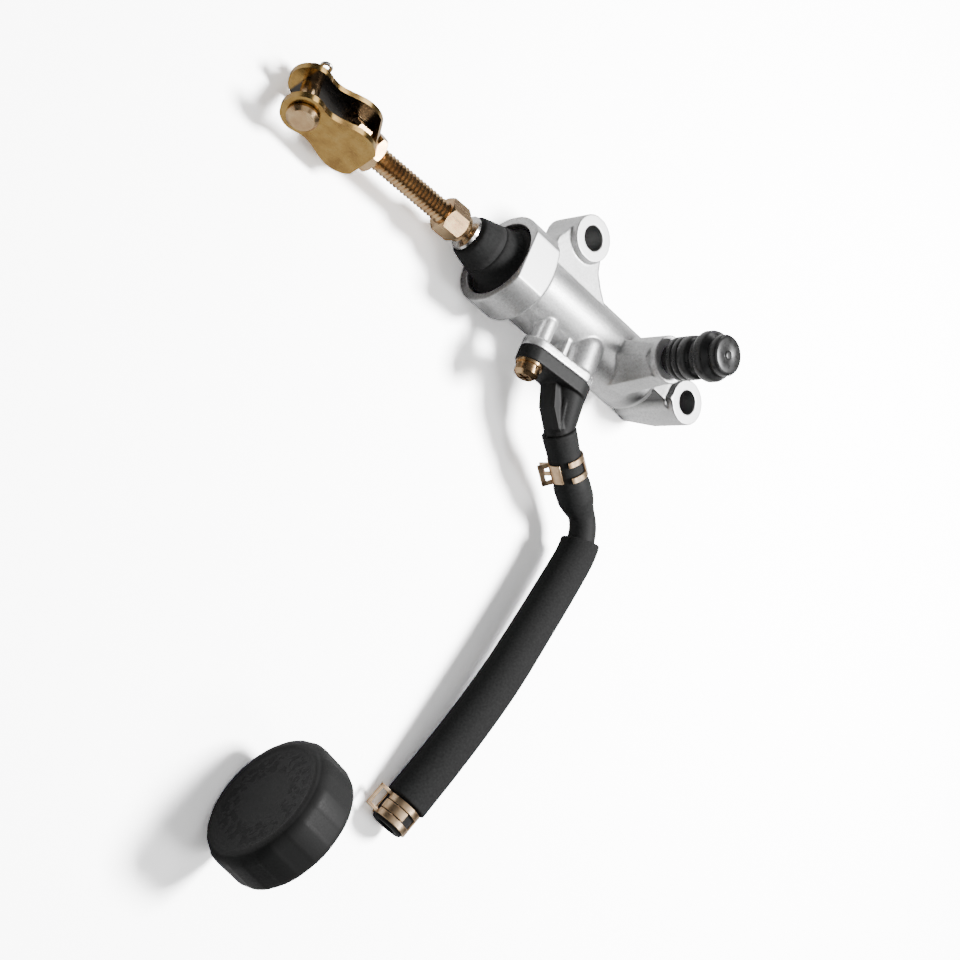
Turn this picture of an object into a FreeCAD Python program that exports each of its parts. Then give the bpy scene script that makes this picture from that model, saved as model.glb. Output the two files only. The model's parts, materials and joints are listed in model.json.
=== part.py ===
import FreeCAD, Part
import math
import os

# Brake master cylinder, millimetres.
# The origin is the centre of the rear mounting hole on its machined face.
# X runs along the bore towards the clevis, Z is up along the mounting bolts, Y is towards the hose.
V = FreeCAD.Vector
X_DIR = V(1, 0, 0)
Y_DIR = V(0, 1, 0)
Z_DIR = V(0, 0, 1)

# Cylinder body
AXIS_Z = -13.3
FLOOR_Z = -30.1
MOUTH_X = 92.5
CUP_LENGTH = 12.0
CUP_R = 16.8
CUP_BORE_R = 13.7
CUP_BORE_DEPTH = 9.0
CUP_FLAT_HEIGHT = 14.3
BARREL_R = 13.0
BARREL_END_X = 18.0
BORE_R = 7.94
BORE_END_X = 22.0
MOUNT_HOLE_R = 4.3
MOUNT_BOSS_R = 8.2
FRONT_BOSS = V(69.0, -22.9, 0)
FRONT_BOSS_LENGTH = 15.5
REAR_FOOT_R = 5.8
REAR_TAPER_Z = -15.5
OUTLET_X = 27.4
OUTLET_FACE_Z = 12.7
OUTLET_BOSS_R = 8.4
OUTLET_HOLE_R = 4.5
CLEARANCE = 0.05

# Inlet port and elbow
INLET_X = 49.0
INLET_Z = -7.2
DOME_R = 6.7
DOME_Y = 7.5
FLANGE_NEAR = 18.0
FLANGE_FAR = 21.2
FLANGE_PORT_R = 7.3
FLANGE_SCREW_R = 5.2
PORT_HOLE_R = 4.0
SCREW_OFFSET = 19.0
SCREW_POST_R = 3.6
SCREW_R = 2.45
ELBOW_THICKNESS = 5.0
ELBOW_NECK_R = 5.2
RIB_HALF_WIDTH = 0.6
RIB_HEIGHT = 6.5
GUSSET_HEIGHT = 7.5

# Piston and its parts
PISTON_REAR_X = 80.0
PISTON_R = BORE_R - CLEARANCE
BALL_X = 77.0
BALL_R = 4.0
SHANK_R = 2.9

# Dust boot
BOOT_LIP_R = 13.35
BOOT_LIP_X = 84.5
BOOT_CONE_X = 90.4
BOOT_CONE_R = 10.8
BOOT_NECK_X = 105.6
BOOT_NECK_R = 7.3
BOOT_WALL = 1.6

# Pushrod and clevis
DROOP = 3.0
COLLAR_X = 106.4
HEX_START_X = 107.7
HEX_END_X = 118.4
HEX_FLATS = 11.0
ROD_R = 3.85
ROD_END_X = 161.0
THREAD_PITCH = 1.5
THREAD_DEPTH = 0.75
LOCKNUT_X = 148.3
LOCKNUT_LENGTH = 3.2
LOCKNUT_FLATS = 12.0
WEB_X = 151.7
WEB_THICKNESS = 2.3
EAR_THICKNESS = 2.3
EAR_GAP = 10.9
EAR_EYE_R = 7.1
EAR_EDGE = [(151.7, 5.6), (154.6, 8.1), (159.0, 8.9), (163.6, 7.9), (168.0, 6.4), (172.6, 6.4)]
INNER_NUT_LENGTH = 6.0
PIN_X = 176.0
PIN_R = 3.0
PIN_HEAD_R = 5.0
PIN_CROWN_R = 3.9
CLEVIS_TURN = 21.0

# Hose, sleeve and clips
HOSE_R = 5.75
HOSE_BORE_R = 3.5
SLEEVE_R = 7.3
SLEEVE_BORE_R = 5.85
HOSE_POINTS = [
    V(43.2, 37.4, -9.5),
    V(26.8, 49.5, -12.2),
    V(9.2, 58.4, -14.0),
    V(13.7, 85.8, -15.0),
    V(24.8, 136.8, -16.0),
    V(36.8, 178.7, -23.3),
]
SLEEVE_END_GAP = 9.5
CLIP_R = 6.6
CLIP_WIDTH = 8.0
UPPER_CLIP_PAST_BEND = 1.8
CLIP_SLACK = 0.2
SPIGOT_LENGTH = 12.0
LOWER_CLIP_ALONG = 5.0

# Loose cap
CAP_R = 21.6
CAP_DEPTH = 15.1
CAP_TURN = -15.5
CAP_FACE = V(95.6, 188.4, FLOOR_Z + CAP_R)
CAP_WALL = 2.4
CAP_EDGE = 2.2
CAP_FLUTES = 12
CAP_FLUTE_R = 7.0
CAP_FLUTE_DEPTH = 0.6

BALL = V(BALL_X, 0, AXIS_Z)


def cylinder(radius, start, direction, length):
    return Part.makeCylinder(radius, length, start, direction)


def along_bore(radius, x_start, x_end):
    return cylinder(radius, V(x_start, 0, AXIS_Z), X_DIR, x_end - x_start)


def ring(outer, inner, start, direction, length):
    solid = cylinder(outer, start, direction, length)
    return solid.cut(cylinder(inner, start - direction * 1.0, direction, length + 2.0))


def join(first, others):
    return first.fuse(others).removeSplitter()


def spin_profile(points):
    """Solid of revolution about the bore axis from (x, radius) points."""
    corners = [V(x, 0, AXIS_Z + radius) for x, radius in points]
    face = Part.Face(Part.makePolygon(corners + [corners[0]]))
    return face.revolve(V(0, 0, AXIS_Z), X_DIR, 360)


def hexagon(flats, x_start, x_end, hole_r):
    """Hexagonal nut on the bore axis with chamfered corners and two flats facing Y."""
    corner = flats / math.sqrt(3)
    points = []
    for step in range(7):
        angle = math.radians(60 * step + 30)
        points.append(V(x_start, corner * math.cos(angle), AXIS_Z + corner * math.sin(angle)))
    solid = Part.Face(Part.makePolygon(points)).extrude(V(x_end - x_start, 0, 0))
    edge = 0.9
    barrel = spin_profile([
        (x_start, 0), (x_start, flats / 2), (x_start + edge, corner + 0.1),
        (x_end - edge, corner + 0.1), (x_end, flats / 2), (x_end, 0),
    ])
    return solid.common(barrel).cut(along_bore(hole_r, x_start - 1, x_end + 1))


def box(x_range, y_range, z_range):
    corner = V(x_range[0], y_range[0], z_range[0])
    return Part.makeBox(x_range[1] - x_range[0], y_range[1] - y_range[0], z_range[1] - z_range[0], corner)


def port_point(distance, along=0.0):
    """Point on the inlet port's axis, or shifted along X to the elbow screw's axis."""
    return V(INLET_X + along, distance, INLET_Z)


def oblong(near, far, port_r, screw_r):
    """Tapered plate round the inlet port and the elbow screw."""
    length = far - near
    port = cylinder(port_r, port_point(near), Y_DIR, length)
    screw = cylinder(screw_r, port_point(near, SCREW_OFFSET), Y_DIR, length)
    lean = (port_r - screw_r) / SCREW_OFFSET
    rise = math.sqrt(1 - lean * lean)
    corners = []
    for centre, radius, sign in ((0, port_r, 1), (SCREW_OFFSET, screw_r, 1),
                                 (SCREW_OFFSET, screw_r, -1), (0, port_r, -1)):
        corners.append(port_point(near, centre + radius * lean) + Z_DIR * (sign * radius * rise))
    web = Part.Face(Part.makePolygon(corners + [corners[0]])).extrude(Y_DIR * length)
    return join(port, [screw, web])


def prism(points, direction):
    return Part.Face(Part.makePolygon(points + [points[0]])).extrude(direction)


def polygon_wire(points):
    return Part.makePolygon(points + [points[0]])


def make_cup():
    """Open cup at the mouth with a flat cast along its top."""
    start = MOUTH_X - CUP_LENGTH
    shoulder = Part.makeCone(BARREL_R, CUP_R, 2.0, V(start - 2.0, 0, AXIS_Z), X_DIR)
    flat_z = AXIS_Z + CUP_FLAT_HEIGHT
    flat = box((start - 3, MOUTH_X + 1), (-CUP_R, CUP_R), (flat_z, flat_z + 10))
    return along_bore(CUP_R, start, MOUTH_X).fuse(shoulder).cut(flat)


def make_rear_end():
    """Rear mounting boss on its tapered foot, its cast rib and nub, and the web to the barrel."""
    boss = cylinder(MOUNT_BOSS_R, V(0, 0, REAR_TAPER_Z), Z_DIR, -REAR_TAPER_Z)
    foot = Part.makeCone(REAR_FOOT_R, MOUNT_BOSS_R, REAR_TAPER_Z - FLOOR_Z, V(0, 0, FLOOR_Z), Z_DIR)
    rib = cylinder(5.8, V(4.3, 0.6, -28.5), Z_DIR, 26)
    nub = cylinder(1.4, V(7.3, 2.6, -7.5), Z_DIR, 7.3)
    web = prism(
        [V(0, -8, -3.0), V(20, -8, -2.0), V(20, -8, -24.5), V(0, -8, -22.0)], V(0, 12, 0))
    return boss.fuse([foot, rib, nub, web])


def make_outlet_end():
    """Outlet boss standing on the barrel with a slanting flat block against its side."""
    boss = cylinder(OUTLET_BOSS_R, V(OUTLET_X, 0, AXIS_Z), Z_DIR, OUTLET_FACE_Z - AXIS_Z)
    top = polygon_wire(
        [V(36.4, 4.4, 10.2), V(30.6, 8.4, 10.2), V(24, 8.2, 10.2), V(24, -2, 10.2), V(35.8, -2, 10.2)])
    base = polygon_wire(
        [V(44, 4.5, -15), V(32, 13.5, -15), V(24, 13, -15), V(24, -2, -15), V(43, -2, -15)])
    return boss.fuse(Part.makeLoft([base, top], True, True))


def make_front_end():
    """Front mounting boss and the flared web that ties it to the barrel and the cup."""
    boss = cylinder(
        MOUNT_BOSS_R, FRONT_BOSS - Z_DIR * FRONT_BOSS_LENGTH, Z_DIR, FRONT_BOSS_LENGTH)
    web = prism(
        [V(51, -8, -12), V(55.5, -12, -12), V(59, -16, -12), V(60.8, -22, -12), V(77.2, -22.9, -12),
         V(81, -16, -12), V(81, 0, -12), V(51, 0, -12)], V(0, 0, 9.5))
    return boss.fuse(web)


def make_inlet_end():
    """Domed inlet port, rounded screw post, thin rib and the flange they carry."""
    port = cylinder(DOME_R, port_point(DOME_Y), Y_DIR, FLANGE_FAR - DOME_Y)
    dome = Part.makeSphere(DOME_R, port_point(DOME_Y))
    post = cylinder(SCREW_POST_R, port_point(10, SCREW_OFFSET), Y_DIR, FLANGE_FAR - 10)
    post_end = Part.makeSphere(SCREW_POST_R, port_point(10, SCREW_OFFSET))
    rib = box((56.6, 58.6), (8, FLANGE_FAR - 1), (-13, -4.8))
    flange = oblong(FLANGE_NEAR, FLANGE_FAR, FLANGE_PORT_R, FLANGE_SCREW_R)
    notch = box((45.4, 47.0), (FLANGE_NEAR - 0.2, FLANGE_FAR + 1), (-2.6, 2))
    return port.fuse([dome, post, post_end, rib, flange]).cut(notch)


def make_body():
    barrel = along_bore(BARREL_R, BARREL_END_X, MOUTH_X - CUP_LENGTH + 1)
    end_cone = Part.makeCone(BARREL_R - 3, BARREL_R, 4, V(BARREL_END_X - 4, 0, AXIS_Z), X_DIR)
    solid = barrel.fuse([end_cone, make_cup(), make_rear_end(), make_outlet_end(),
                         make_front_end(), make_inlet_end()])
    cuts = [
        along_bore(CUP_BORE_R, MOUTH_X - CUP_BORE_DEPTH, MOUTH_X + 1),
        along_bore(BORE_R, BORE_END_X, MOUTH_X),
        along_bore(8.7, PISTON_REAR_X + 0.2, MOUTH_X),
        along_bore(9.3, 81.8, 82.9),
        cylinder(MOUNT_HOLE_R, V(0, 0, FLOOR_Z - 1), Z_DIR, 40),
        cylinder(MOUNT_HOLE_R, FRONT_BOSS - Z_DIR * 20, Z_DIR, 30),
        cylinder(OUTLET_HOLE_R, V(OUTLET_X, 0, AXIS_Z), Z_DIR, OUTLET_FACE_Z - AXIS_Z + 1),
        cylinder(PORT_HOLE_R, port_point(11), Y_DIR, 11),
        cylinder(0.5, port_point(1, -2.6), Y_DIR, 11),
        cylinder(0.9, port_point(1, 3.3), Y_DIR, 11),
        cylinder(SCREW_R + CLEARANCE, port_point(12, SCREW_OFFSET), Y_DIR, 12),
    ]
    return solid.cut(cuts).removeSplitter()


def make_piston():
    rod = spin_profile([
        (47.0, 0), (47.0, 4.0), (52.0, 4.0), (52.0, PISTON_R), (55.0, PISTON_R), (55.0, 5.2),
        (68.5, 5.2), (68.5, PISTON_R), (70.5, PISTON_R), (70.5, 5.6), (74.0, 5.6), (74.0, PISTON_R),
        (PISTON_REAR_X, PISTON_R), (PISTON_REAR_X, 0),
    ])
    seat = Part.makeSphere(BALL_R + CLEARANCE, BALL)
    mouth = Part.makeCone(3.9, 5.6, PISTON_REAR_X - BALL_X + 0.1, BALL, X_DIR)
    return rod.cut([seat, mouth])


def make_primary_cup():
    return spin_profile([
        (48.4, 4.05), (48.4, 5.2), (50.0, 5.6), (48.0, 7.2), (48.4, PISTON_R),
        (51.9, PISTON_R - 0.1), (51.9, 4.05),
    ])


def make_secondary_cup():
    return spin_profile([
        (70.6, 5.65), (70.6, PISTON_R - 0.1), (73.9, PISTON_R), (73.9, 5.65),
    ])


def make_spring_seat():
    return spin_profile([(46.8, 4.05), (46.8, 6.6), (47.8, 6.6), (47.8, 4.05)])


def make_return_spring():
    wire_r = 0.7
    coil_r = 5.6
    x_start = BORE_END_X + 1.0
    length = 46.0 - x_start
    helix = Part.makeHelix(length / 7.0, length, coil_r)
    section = Part.Wire(Part.makeCircle(wire_r, V(coil_r, 0, 0), Y_DIR))
    coil = Part.Wire(helix.Edges).makePipeShell([section], True, True)
    coil.rotate(V(0, 0, 0), Y_DIR, 90)
    coil.translate(V(x_start, 0, AXIS_Z))
    return coil


def make_stop_washer():
    return ring(8.6, 5.2, V(80.3, 0, AXIS_Z), X_DIR, 1.3)


def make_circlip():
    clip = ring(9.2, 6.6, V(81.9, 0, AXIS_Z), X_DIR, 0.9)
    gap = box((81, 84), (-1.8, 1.8), (AXIS_Z - 12, AXIS_Z - 4))
    return clip.cut(gap)


def droop(shape):
    """Tip a straight-built part down about the ball seat."""
    tipped = shape.copy()
    tipped.rotate(BALL, Y_DIR, DROOP)
    return tipped


def make_pushrod():
    points = [(BALL_X, 0), (BALL_X, SHANK_R), (HEX_START_X, SHANK_R), (HEX_START_X + 1, ROD_R)]
    x = HEX_END_X + 0.4
    while x < ROD_END_X - 2 * THREAD_PITCH:
        points.append((x, ROD_R))
        points.append((x + 0.5 * THREAD_PITCH, ROD_R - THREAD_DEPTH))
        x += THREAD_PITCH
    points += [(x, ROD_R), (ROD_END_X - 1, ROD_R), (ROD_END_X, ROD_R - 1), (ROD_END_X, 0)]
    rod = spin_profile(points)
    return rod.fuse(Part.makeSphere(BALL_R, BALL))


def make_rod_hex():
    nut = hexagon(HEX_FLATS, HEX_START_X + 2.8, HEX_END_X, ROD_R + CLEARANCE)
    skirt = spin_profile([
        (HEX_START_X + 1.2, ROD_R + CLEARANCE), (HEX_START_X + 1.2, 4.7), (HEX_START_X + 3.4, 5.4),
        (HEX_START_X + 3.4, ROD_R + CLEARANCE),
    ])
    return nut.fuse(skirt)


def make_boot_collar():
    return ring(6.2, SHANK_R + CLEARANCE, V(COLLAR_X, 0, AXIS_Z), X_DIR, 1.0)


def drooped_circle(x, radius, share):
    """Circle across the bore axis, lowered by a share of the rod's droop there."""
    drop = share * (x - BALL_X) * math.tan(math.radians(DROOP))
    return Part.Wire(Part.makeCircle(radius, V(x, 0, AXIS_Z - drop), X_DIR))


def make_dust_boot():
    """Straight cone from a lip seated in the cup to a neck that follows the rod."""
    lip = along_bore(BOOT_LIP_R, BOOT_LIP_X, BOOT_CONE_X)
    cone = Part.makeLoft([
        drooped_circle(BOOT_CONE_X - 0.5, BOOT_CONE_R, 0.3),
        drooped_circle(BOOT_NECK_X, BOOT_NECK_R, 1)], True, True)
    inside = along_bore(BOOT_LIP_R - BOOT_WALL, BOOT_LIP_X - 1, BOOT_CONE_X - BOOT_WALL)
    cone_inside = Part.makeLoft([
        drooped_circle(BOOT_CONE_X - 2.0, BOOT_CONE_R - BOOT_WALL, 0.3),
        drooped_circle(BOOT_NECK_X - BOOT_WALL, BOOT_NECK_R - BOOT_WALL, 1)], True, True)
    neck = droop(along_bore(SHANK_R + 0.3, 100, 110))
    return lip.fuse(cone).cut([inside, cone_inside, neck])


def turn_clevis(shape):
    """Turn about the rod, then tip with the rod."""
    turned = shape.copy()
    turned.rotate(BALL, X_DIR, CLEVIS_TURN)
    return droop(turned)


def ear_face():
    """Side outline of an ear: two smooth mirrored edges closed at the web and under the eye."""
    upper = [V(x, 0, AXIS_Z + z) for x, z in EAR_EDGE]
    lower = [V(x, 0, AXIS_Z - z) for x, z in EAR_EDGE]
    edges = []
    for points in (upper, lower):
        curve = Part.BSplineCurve()
        curve.interpolate(points)
        edges.append(curve.toShape())
    edges.insert(1, Part.makeLine(upper[-1], lower[-1]))
    edges.append(Part.makeLine(lower[0], upper[0]))
    return Part.Face(Part.Wire(Part.sortEdges(edges)[0]))


def make_clevis():
    width = EAR_GAP + 2 * EAR_THICKNESS
    block = ear_face()
    block.translate(V(0, -width / 2, 0))
    block = block.extrude(V(0, width, 0))
    eye = cylinder(EAR_EYE_R, V(PIN_X, -width / 2, AXIS_Z), Y_DIR, width)
    half = EAR_GAP / 2
    gap = box((WEB_X + WEB_THICKNESS, PIN_X + 20), (-half, half), (AXIS_Z - 20, AXIS_Z + 20))
    rod_hole = along_bore(ROD_R + CLEARANCE, WEB_X - 1, WEB_X + 5)
    pin_hole = cylinder(PIN_R + CLEARANCE, V(PIN_X, -20, AXIS_Z), Y_DIR, 40)
    return block.fuse(eye).cut([gap, rod_hole, pin_hole]).removeSplitter()


def make_clevis_inner_nut():
    start = WEB_X + WEB_THICKNESS + CLEARANCE
    return hexagon(EAR_GAP - 0.4, start, start + INNER_NUT_LENGTH, ROD_R + CLEARANCE)


def make_clevis_locknut():
    return hexagon(LOCKNUT_FLATS, LOCKNUT_X, LOCKNUT_X + LOCKNUT_LENGTH, ROD_R + CLEARANCE)


def make_clevis_pin():
    half = EAR_GAP / 2 + EAR_THICKNESS
    head = cylinder(PIN_HEAD_R, V(PIN_X, half + 0.35, AXIS_Z), Y_DIR, 0.9)
    crown = Part.makeCone(PIN_HEAD_R, PIN_CROWN_R, 1.1, V(PIN_X, half + 1.25, AXIS_Z), Y_DIR)
    shank = cylinder(PIN_R, V(PIN_X, -half - 5.2, AXIS_Z), Y_DIR, 2 * half + 6.2)
    hole = cylinder(0.85, V(PIN_X, -half - 2.4, AXIS_Z - 6), Z_DIR, 12)
    return head.fuse([crown, shank]).cut(hole)


def make_cotter_pin():
    y = -(EAR_GAP / 2 + EAR_THICKNESS) - 2.4
    legs = cylinder(0.75, V(PIN_X, y, AXIS_Z - 5.0), Z_DIR, 9.5)
    eye = Part.makeTorus(1.5, 0.6, V(PIN_X, y, AXIS_Z + 5.6), Y_DIR)
    tip = cylinder(0.6, V(PIN_X, y, AXIS_Z - 4.6), V(0.9, -0.35, -0.25), 4.5)
    return legs.fuse([eye, tip])


def elbow_exit():
    return (HOSE_POINTS[1] - HOSE_POINTS[0]).normalize()


def make_hose_elbow():
    """Flanged elbow: oblong head, port stub, tapering neck with a rib, and a spigot in the hose."""
    head = oblong(FLANGE_FAR + CLEARANCE, FLANGE_FAR + ELBOW_THICKNESS, FLANGE_PORT_R, FLANGE_SCREW_R)
    stub = cylinder(PORT_HOLE_R - CLEARANCE, port_point(14), Y_DIR, 8)
    hose_start = HOSE_POINTS[0]
    turn_point = port_point(FLANGE_FAR + 1.5)
    to_hose = (hose_start - turn_point).normalize()
    neck_length = (hose_start - turn_point).Length
    neck = Part.makeCone(FLANGE_PORT_R - 0.3, ELBOW_NECK_R, neck_length, turn_point, to_hose)
    knuckle = Part.makeSphere(ELBOW_NECK_R, hose_start - elbow_exit() * 0.5)
    spigot = cylinder(HOSE_BORE_R - CLEARANCE, hose_start - elbow_exit(), elbow_exit(), SPIGOT_LENGTH)
    rib_out = V(0.6, 0.35, 0.7).normalize()
    rib_side = to_hose.cross(rib_out) * RIB_HALF_WIDTH
    rib = prism(
        [turn_point - rib_side, turn_point + rib_side, hose_start + rib_side, hose_start - rib_side],
        rib_out * RIB_HEIGHT)
    behind_head = box((20, 80), (FLANGE_FAR - 15, FLANGE_FAR + CLEARANCE), (-30, 20))
    trim = cylinder(HOSE_R + 3.0, hose_start - elbow_exit() * CLEARANCE, elbow_exit(), 25)
    gusset = prism(
        [V(46, 25, -12), V(57.5, 25, -12), V(53.5, 34, -12), V(47.8, 39.5, -12), V(42, 36, -12)],
        V(0, 0, GUSSET_HEIGHT))
    shell = neck.fuse([knuckle, rib, gusset]).cut([trim, behind_head])
    cuts = [
        cylinder(2.0, port_point(10), Y_DIR, turn_point.y - 10),
        Part.makeSphere(2.0, turn_point),
        cylinder(2.0, turn_point, to_hose, neck_length),
        cylinder(2.0, hose_start - elbow_exit(), elbow_exit(), 30),
        cylinder(SCREW_R + 0.3, port_point(5, SCREW_OFFSET), Y_DIR, 30),
        ring(5.0, PORT_HOLE_R - 1.4, port_point(16.0), Y_DIR, 1.8),
    ]
    return head.fuse([stub, shell, spigot]).cut(cuts)


def make_elbow_o_ring():
    centre = port_point(16.9)
    torus = Part.makeTorus(3.3, 0.65, centre, Y_DIR)
    return torus.common(cylinder(PORT_HOLE_R - 0.02, port_point(12), Y_DIR, 9))


def screw_stack_start():
    return FLANGE_FAR + ELBOW_THICKNESS


def make_screw_flat_washer():
    start = port_point(screw_stack_start() + CLEARANCE, SCREW_OFFSET)
    return ring(4.7, SCREW_R + 0.1, start, Y_DIR, 0.9)


def make_screw_spring_washer():
    start = port_point(screw_stack_start() + 1.0, SCREW_OFFSET)
    washer = ring(4.1, SCREW_R + 0.1, start, Y_DIR, 1.2)
    split = Part.makeBox(0.6, 6, 6, start + V(-0.3, -3, 0))
    return washer.cut(split)


def make_elbow_screw():
    base = screw_stack_start() + 2.25
    head = cylinder(4.1, port_point(base, SCREW_OFFSET), Y_DIR, 1.6)
    dome = Part.makeCone(4.1, 2.8, 1.3, port_point(base + 1.6, SCREW_OFFSET), Y_DIR)
    shank = cylinder(SCREW_R, port_point(12.5, SCREW_OFFSET), Y_DIR, base - 12.0)
    top = port_point(base + 1.2, SCREW_OFFSET)
    slots = []
    for across, along in ((X_DIR, Z_DIR), (Z_DIR, X_DIR)):
        start = top - along * 2.2 - across * 0.5
        slots.append(prism(
            [start, start + along * 4.4, start + along * 4.4 + across, start + across], Y_DIR * 3))
    return head.fuse([dome, shank]).cut(slots)


def rounded_path(points):
    """Edges of straight runs joined by tangent arcs, with each arc's radius printed."""
    edges = []
    previous = points[0]
    for before, corner, after in zip(points, points[1:], points[2:]):
        back = before - corner
        ahead = after - corner
        turn = math.pi - back.getAngle(ahead)
        trim = 0.45 * min(back.Length, ahead.Length)
        radius = trim / math.tan(turn / 2)
        print("arc radius", round(radius, 1), "turn", round(math.degrees(turn), 1))
        back.normalize()
        ahead.normalize()
        start = corner + back * trim
        end = corner + ahead * trim
        inward = (back + ahead).normalize()
        middle = corner + inward * (radius / math.cos(turn / 2) - radius)
        edges.append(Part.LineSegment(previous, start).toShape())
        edges.append(Part.Arc(start, middle, end).toShape())
        previous = end
    edges.append(Part.LineSegment(previous, points[-1]).toShape())
    return edges


def tube(edges, outer, inner):
    path = Part.Wire(edges)
    start = path.Edges[0].valueAt(path.Edges[0].FirstParameter)
    direction = path.Edges[0].tangentAt(path.Edges[0].FirstParameter)
    shapes = []
    for radius in (outer, inner):
        section = Part.Wire(Part.makeCircle(radius, start, direction))
        shapes.append(path.makePipeShell([section], True, True))
    solid = shapes[0].cut(shapes[1])
    expected = math.pi * (outer ** 2 - inner ** 2) * path.Length
    print("tube volume", round(solid.Volume), "section times length", round(expected))
    return solid


def sleeve_edges():
    """Hose path from the middle of its sharpest bend to short of its end."""
    edges = rounded_path(HOSE_POINTS)
    arc = edges[3]
    first = arc.FirstParameter
    last = arc.LastParameter
    middle = arc.valueAt(first + 0.5 * (last - first))
    quarter = arc.valueAt(first + 0.75 * (last - first))
    half_arc = Part.Arc(middle, quarter, arc.valueAt(last)).toShape()
    run_start = edges[8].valueAt(edges[8].FirstParameter)
    run_end = HOSE_POINTS[5] + (HOSE_POINTS[4] - HOSE_POINTS[5]).normalize() * SLEEVE_END_GAP
    return [half_arc] + edges[4:8] + [Part.LineSegment(run_start, run_end).toShape()]


def make_hose():
    return tube(rounded_path(HOSE_POINTS), HOSE_R, HOSE_BORE_R)


def make_hose_sleeve():
    return tube(sleeve_edges(), SLEEVE_R, SLEEVE_BORE_R)


def hose_clip(centre, direction, up):
    """Spring band with two pinch lugs on the side given by up."""
    start = centre - direction * (CLIP_WIDTH / 2)
    band = ring(CLIP_R, HOSE_R + CLIP_SLACK, start, direction, CLIP_WIDTH)
    side = direction.cross(up)
    lugs = []
    for sign in (1, -1):
        root = start + up * (HOSE_R + 0.4) + side * (sign * 1.6) + direction * (1 + sign)
        corners = [
            root, root + up * 4.6, root + up * 4.6 + side * (0.8 * sign), root + side * (0.8 * sign)]
        lugs.append(prism(corners, direction * 4.0))
    return band.fuse(lugs)


def make_hose_clip_upper():
    bend = rounded_path(HOSE_POINTS)[1]
    place = bend.FirstParameter + UPPER_CLIP_PAST_BEND / bend.Curve.Radius
    direction = bend.tangentAt(place)
    side = direction.cross(Z_DIR).normalize()
    up = side.cross(direction)
    return hose_clip(bend.valueAt(place), direction, up)


def make_hose_clip_lower():
    direction = (HOSE_POINTS[4] - HOSE_POINTS[5]).normalize()
    side = Z_DIR.cross(direction)
    return hose_clip(HOSE_POINTS[5] + direction * LOWER_CLIP_ALONG, direction, side * -1)


def make_outlet_plug():
    rings = [
        (-8.0, 3.4), (-7.0, OUTLET_HOLE_R - CLEARANCE), (0.1, OUTLET_HOLE_R - CLEARANCE), (0.1, 5.2),
        (3.0, 5.2), (3.6, 7.6), (12.6, 7.6), (13.2, 6.3), (15.0, 6.3), (15.8, 8.7), (20.0, 8.7),
        (21.0, 6.4), (22.0, 7.0), (25.0, 6.6),
    ]
    corners = [V(OUTLET_X + r, 0, OUTLET_FACE_Z + z) for z, r in rings]
    corners.insert(0, V(OUTLET_X, 0, OUTLET_FACE_Z - 8.0))
    corners.append(V(OUTLET_X, 0, OUTLET_FACE_Z + 25.0))
    face = Part.Face(Part.makePolygon(corners + [corners[0]]))
    return face.revolve(V(OUTLET_X, 0, 0), Z_DIR, 360)


def make_reservoir_cap():
    """Round cap open at the back, with a shallow dish in its face and shallow flutes round its side."""
    back = CAP_FACE - X_DIR * CAP_DEPTH
    shell = cylinder(CAP_R, back, X_DIR, CAP_DEPTH - CAP_EDGE)
    brow = Part.makeCone(CAP_R, CAP_R - CAP_EDGE, CAP_EDGE, CAP_FACE - X_DIR * CAP_EDGE, X_DIR)
    inside = cylinder(CAP_R - CAP_WALL, back - X_DIR, X_DIR, CAP_DEPTH - CAP_WALL + 1)
    dish = cylinder(CAP_R - 2 * CAP_EDGE, CAP_FACE - X_DIR * 0.6, X_DIR, 2)
    flutes = []
    for step in range(CAP_FLUTES):
        angle = math.radians(360.0 * step / CAP_FLUTES + 15)
        out = V(0, math.cos(angle), math.sin(angle))
        centre = back + out * (CAP_R + CAP_FLUTE_R - CAP_FLUTE_DEPTH) - X_DIR
        flutes.append(cylinder(CAP_FLUTE_R, centre, X_DIR, CAP_DEPTH + 2))
    cap = shell.fuse(brow).cut([inside, dish] + flutes)
    cap.rotate(CAP_FACE, Z_DIR, CAP_TURN)
    return cap


PARTS = {
    "cylinder_body": make_body(),
    "piston": make_piston(),
    "primary_cup": make_primary_cup(),
    "secondary_cup": make_secondary_cup(),
    "spring_seat": make_spring_seat(),
    "return_spring": make_return_spring(),
    "stop_washer": make_stop_washer(),
    "circlip": make_circlip(),
    "pushrod": droop(make_pushrod()),
    "rod_hex": droop(make_rod_hex()),
    "boot_collar": droop(make_boot_collar()),
    "dust_boot": make_dust_boot(),
    "clevis": turn_clevis(make_clevis()),
    "clevis_inner_nut": turn_clevis(make_clevis_inner_nut()),
    "clevis_locknut": turn_clevis(make_clevis_locknut()),
    "clevis_pin": turn_clevis(make_clevis_pin()),
    "cotter_pin": turn_clevis(make_cotter_pin()),
    "hose_elbow": make_hose_elbow(),
    "elbow_o_ring": make_elbow_o_ring(),
    "elbow_screw": make_elbow_screw(),
    "screw_spring_washer": make_screw_spring_washer(),
    "screw_flat_washer": make_screw_flat_washer(),
    "hose": make_hose(),
    "hose_sleeve": make_hose_sleeve(),
    "hose_clip_upper": make_hose_clip_upper(),
    "hose_clip_lower": make_hose_clip_lower(),
    "outlet_plug": make_outlet_plug(),
    "reservoir_cap": make_reservoir_cap(),
}

os.makedirs("parts", exist_ok=True)
for node, shape in PARTS.items():
    bounds = shape.BoundBox
    print(node, "solids", len(shape.Solids), "valid", shape.isValid(), "volume", round(shape.Volume),
          "z", round(bounds.ZMin, 2), round(bounds.ZMax, 2))
    shape.exportStep("parts/" + node + ".step")
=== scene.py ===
import bmesh
import bpy
import json
import math
from mathutils import Matrix, Vector


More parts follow.
